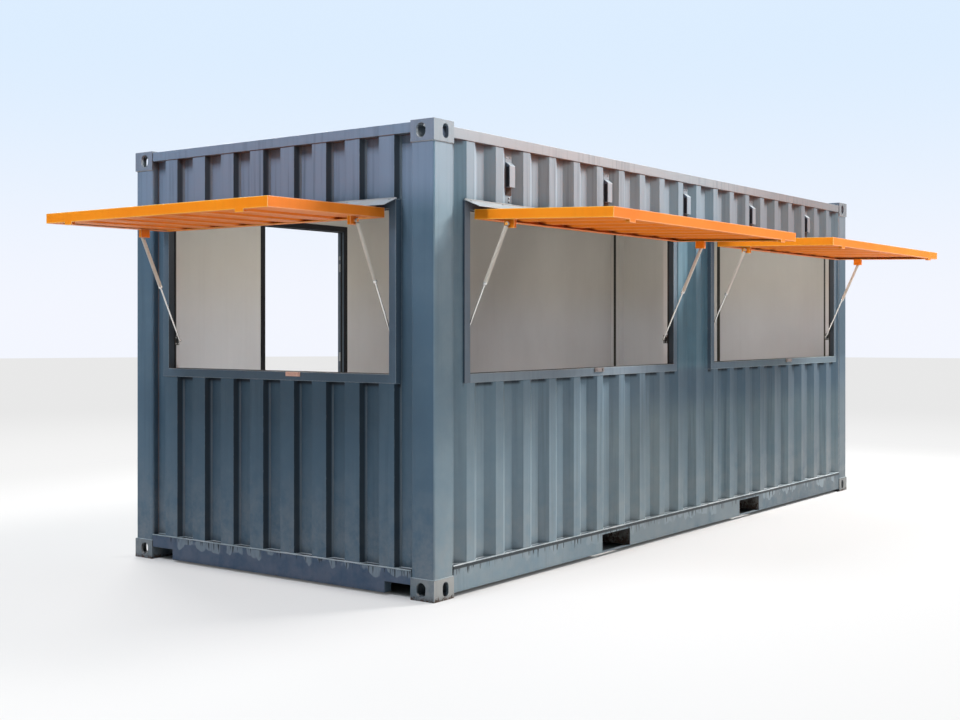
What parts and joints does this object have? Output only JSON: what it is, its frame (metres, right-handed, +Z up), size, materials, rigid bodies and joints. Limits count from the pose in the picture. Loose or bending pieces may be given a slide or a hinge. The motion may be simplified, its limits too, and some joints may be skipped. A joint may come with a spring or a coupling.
{
  "type": "shipping container cabin",
  "caption": "Steel shipping container cabin with top hung serving hatches on gas struts, a lined room and a rear doorway.",
  "frame": {"origin": "middle of the four corner castings on the ground, under the container body without its open hatches", "axes": "+X along the length to the plain end, +Y to the back wall with the doorway, +Z up"},
  "size_m": [6.962, 3.3427, 2.591],
  "materials": {
    "container_paint": "blue grey container paint, satin, lightly dusty",
    "underframe_paint": "dark chassis paint",
    "hatch_orange": "orange gloss paint",
    "door_steel": "dark grey painted steel",
    "black_bracket": "black powder coat",
    "cylinder_paint": "light grey gas cylinder paint",
    "bright_rod": "polished piston rod",
    "lining_board": "painted lining board, matt light grey",
    "dark_trim": "black joint strip",
    "floor_plywood": "sealed container plywood, worn"
  },
  "bodies": {
    "cabin": {"back_lining": "lining_board", "back_lining_over_door": "lining_board", "back_wall": "container_paint", "back_wall_over_door": "container_paint", "bottom_corner_castings": "container_paint", "bottom_side_rails": "container_paint", "catch_plates": "hatch_orange", "ceiling_lining": "lining_board", "corner_boxings": "lining_board", "corner_posts": "container_paint", "cross_members": "underframe_paint", "door_frame": "door_steel", "drip_flashings": "container_paint", "end_hatch_frame": "container_paint", "end_headers": "container_paint", "end_sills": "container_paint", "floor_boards": "floor_plywood", "fork_pockets": "underframe_paint", "front_left_hatch_frame": "container_paint", "front_lining": "lining_board", "front_lining_piers": "lining_board", "front_right_hatch_frame": "container_paint", "front_wall_lower": "container_paint", "front_wall_piers": "container_paint", "front_wall_upper": "container_paint", "hatch_hinges": "container_paint", "left_end_lining": "lining_board", "left_end_lining_sides": "lining_board", "left_end_wall_lower": "container_paint", "left_end_wall_sides": "container_paint", "left_end_wall_upper": "container_paint", "lining_joint_strip": "dark_trim", "right_end_lining": "lining_board", "right_end_wall": "container_paint", "roof_end_plates": "container_paint", "roof_panel": "container_paint", "strut_brackets": "black_bracket", "top_corner_castings": "container_paint", "top_side_rails": "container_paint", "wall_vents": "container_paint"},
    "front_left_hatch_leaf": {"front_left_hatch_leaf": "hatch_orange", "front_left_hatch_panel": "hatch_orange"},
    "front_left_hatch_cylinders": {"front_left_hatch_cylinders": "cylinder_paint"},
    "front_left_hatch_rods": {"front_left_hatch_rods": "bright_rod"},
    "front_right_hatch_leaf": {"front_right_hatch_leaf": "hatch_orange", "front_right_hatch_panel": "hatch_orange"},
    "front_right_hatch_cylinders": {"front_right_hatch_cylinders": "cylinder_paint"},
    "front_right_hatch_rods": {"front_right_hatch_rods": "bright_rod"},
    "end_hatch_leaf": {"end_hatch_leaf": "hatch_orange", "end_hatch_panel": "hatch_orange"},
    "end_hatch_cylinders": {"end_hatch_cylinders": "cylinder_paint"},
    "end_hatch_rods": {"end_hatch_rods": "bright_rod"}
  },
  "joints": [
    {"name": "front_left_hatch_swing", "type": "hinge", "parent": "cabin", "child": "front_left_hatch_leaf", "pos_m": [-1.502, -1.224, 2.126], "axis": [1, 0, 0], "range_deg": [0, 88]},
    {"name": "front_left_hatch_cylinder_swing", "type": "hinge", "parent": "front_left_hatch_leaf", "child": "front_left_hatch_cylinders", "pos_m": [-1.502, -1.449, 2.03609], "axis": [1, 0, 0], "range_deg": [-113.64, 0]},
    {"name": "front_left_hatch_rod_slide", "type": "slide", "parent": "front_left_hatch_cylinders", "child": "front_left_hatch_rods", "axis": [0, -0.4201, 0.9075], "range_m": [0, 0.20421]},
    {"name": "front_right_hatch_swing", "type": "hinge", "parent": "cabin", "child": "front_right_hatch_leaf", "pos_m": [1.532, -1.224, 2.126], "axis": [1, 0, 0], "range_deg": [0, 88.6]},
    {"name": "front_right_hatch_cylinder_swing", "type": "hinge", "parent": "front_right_hatch_leaf", "child": "front_right_hatch_cylinders", "pos_m": [1.532, -1.44993, 2.03845], "axis": [1, 0, 0], "range_deg": [-114.22, 0]},
    {"name": "front_right_hatch_rod_slide", "type": "slide", "parent": "front_right_hatch_cylinders", "child": "front_right_hatch_rods", "axis": [0, -0.4199, 0.9076], "range_m": [0, 0.20675]},
    {"name": "end_hatch_swing", "type": "hinge", "parent": "cabin", "child": "end_hatch_leaf", "pos_m": [-3.033, 0, 2.126], "axis": [0, -1, 0], "range_deg": [0, 89.7]},
    {"name": "end_hatch_cylinder_swing", "type": "hinge", "parent": "end_hatch_leaf", "child": "end_hatch_cylinders", "pos_m": [-3.26057, 0, 2.04281], "axis": [0, -1, 0], "range_deg": [-115.3, 0]},
    {"name": "end_hatch_rod_slide", "type": "slide", "parent": "end_hatch_cylinders", "child": "end_hatch_rods", "axis": [-0.4195, 0, 0.9078], "range_m": [0, 0.21138]}
  ],
  "couplings": [
    {"joint": "front_left_hatch_cylinder_swing", "follows": "front_left_hatch_swing", "ratio": -1.2912},
    {"joint": "front_left_hatch_rod_slide", "follows": "front_left_hatch_swing", "m_per_rad": 0.13289},
    {"joint": "front_right_hatch_cylinder_swing", "follows": "front_right_hatch_swing", "ratio": -1.2891},
    {"joint": "front_right_hatch_rod_slide", "follows": "front_right_hatch_swing", "m_per_rad": 0.13363},
    {"joint": "end_hatch_cylinder_swing", "follows": "end_hatch_swing", "ratio": -1.2852},
    {"joint": "end_hatch_rod_slide", "follows": "end_hatch_swing", "m_per_rad": 0.13496}
  ]
}
